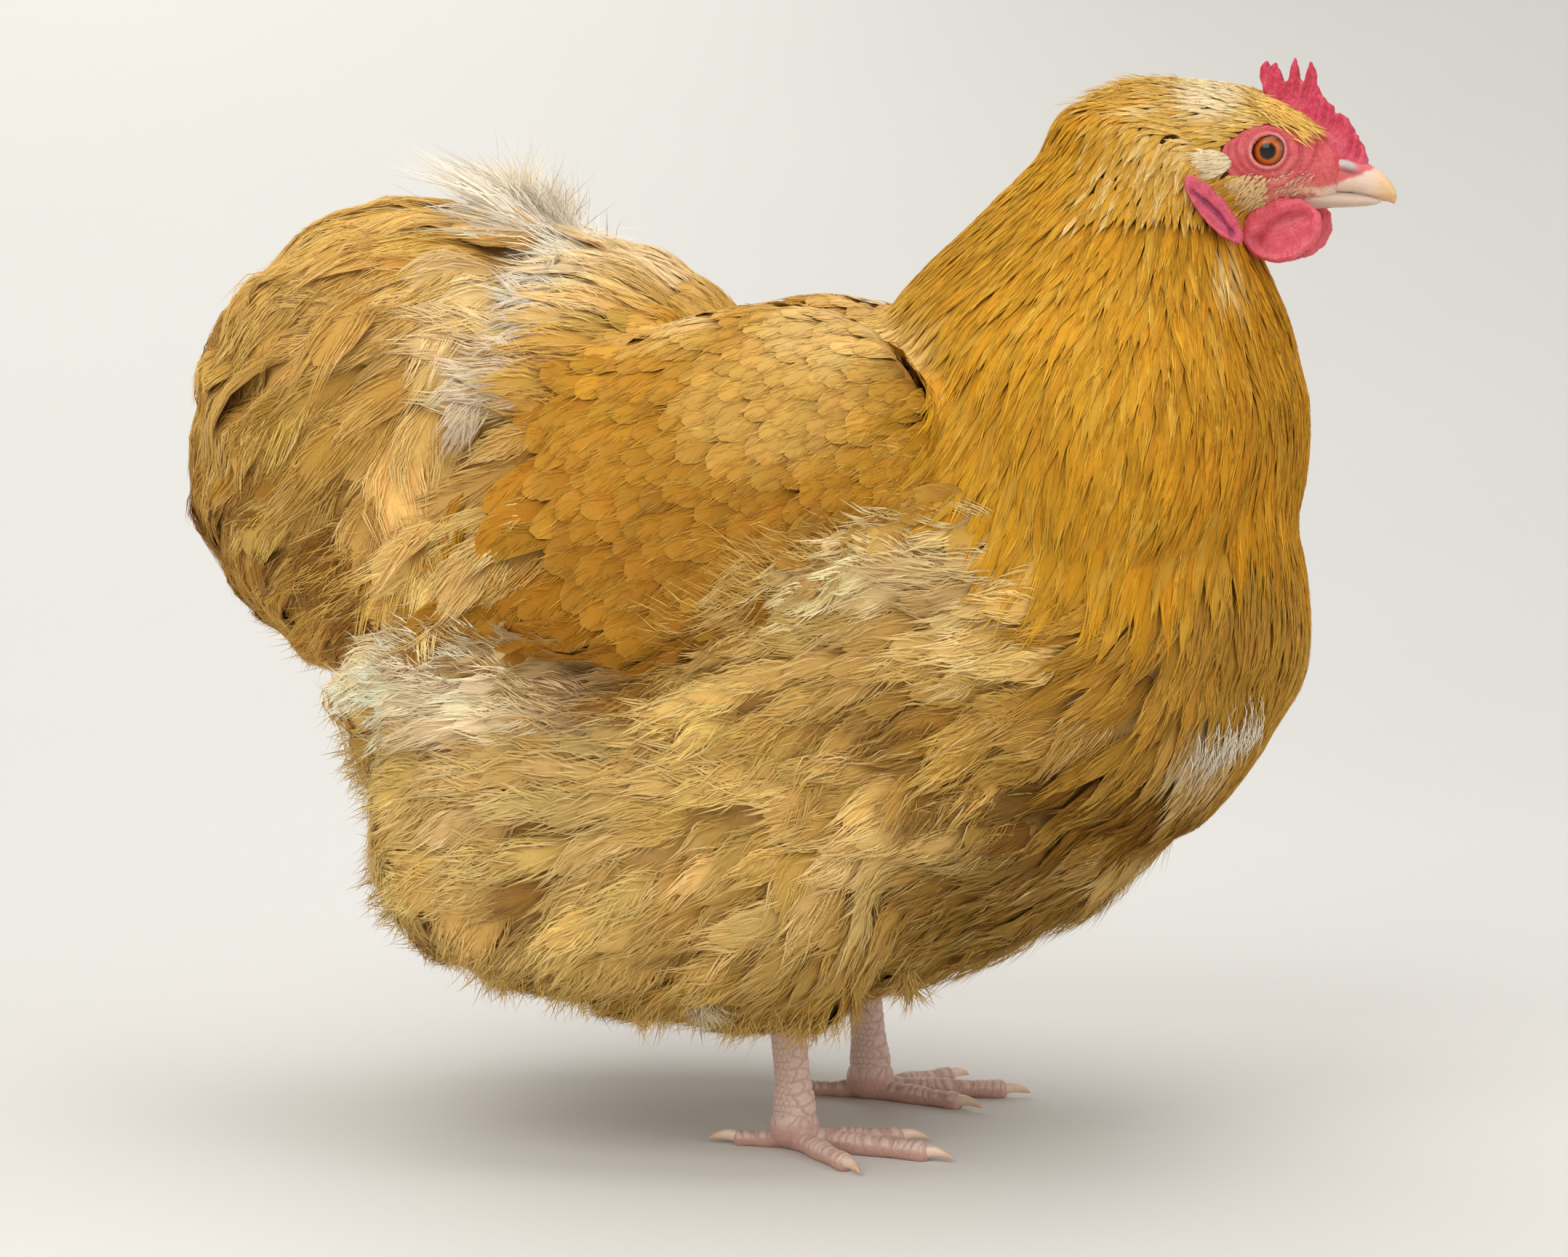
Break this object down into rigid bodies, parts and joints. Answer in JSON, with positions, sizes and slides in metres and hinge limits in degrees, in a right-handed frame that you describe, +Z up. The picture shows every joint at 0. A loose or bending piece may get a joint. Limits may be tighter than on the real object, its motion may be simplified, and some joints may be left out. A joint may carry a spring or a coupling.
{
  "type": "orpington hen figure",
  "caption": "Life-size still model of a buff fluffy-feathered hen, standing in profile with raised head, red comb and wattles, and a cushion tail.",
  "frame": {"origin": "on the floor, under the middle of the hen's box", "axes": "+Z up, +X the way the hen faces, +Y its left side"},
  "size_m": [0.439, 0.2322, 0.3911],
  "materials": {
    "buff_feather": "feathers, matt",
    "pale_fluff": "downy feathers, matt",
    "gold_hackle": "narrow feathers, soft sheen",
    "red_skin": "fleshy, fine grained",
    "horn": "smooth horn",
    "eye": "wet gloss",
    "leg_skin": "scaled skin"
  },
  "bodies": {
    "root": {"torso": "buff_feather", "neck": "gold_hackle", "head": "gold_hackle", "beak_upper": "horn", "beak_lower": "horn", "comb": "red_skin", "tail": "pale_fluff", "wing_right": "buff_feather", "thigh_right": "pale_fluff", "eye_right": "eye", "wattle_right": "red_skin", "earlobe_right": "red_skin", "shank_right": "leg_skin", "foot_right": "leg_skin", "claw_right_middle": "horn", "claw_right_inner": "horn", "claw_right_outer": "horn", "claw_right_hind": "horn", "wing_left": "buff_feather", "thigh_left": "pale_fluff", "eye_left": "eye", "wattle_left": "red_skin", "earlobe_left": "red_skin", "shank_left": "leg_skin", "foot_left": "leg_skin", "claw_left_middle": "horn", "claw_left_inner": "horn", "claw_left_outer": "horn", "claw_left_hind": "horn"}
  },
  "joints": []
}
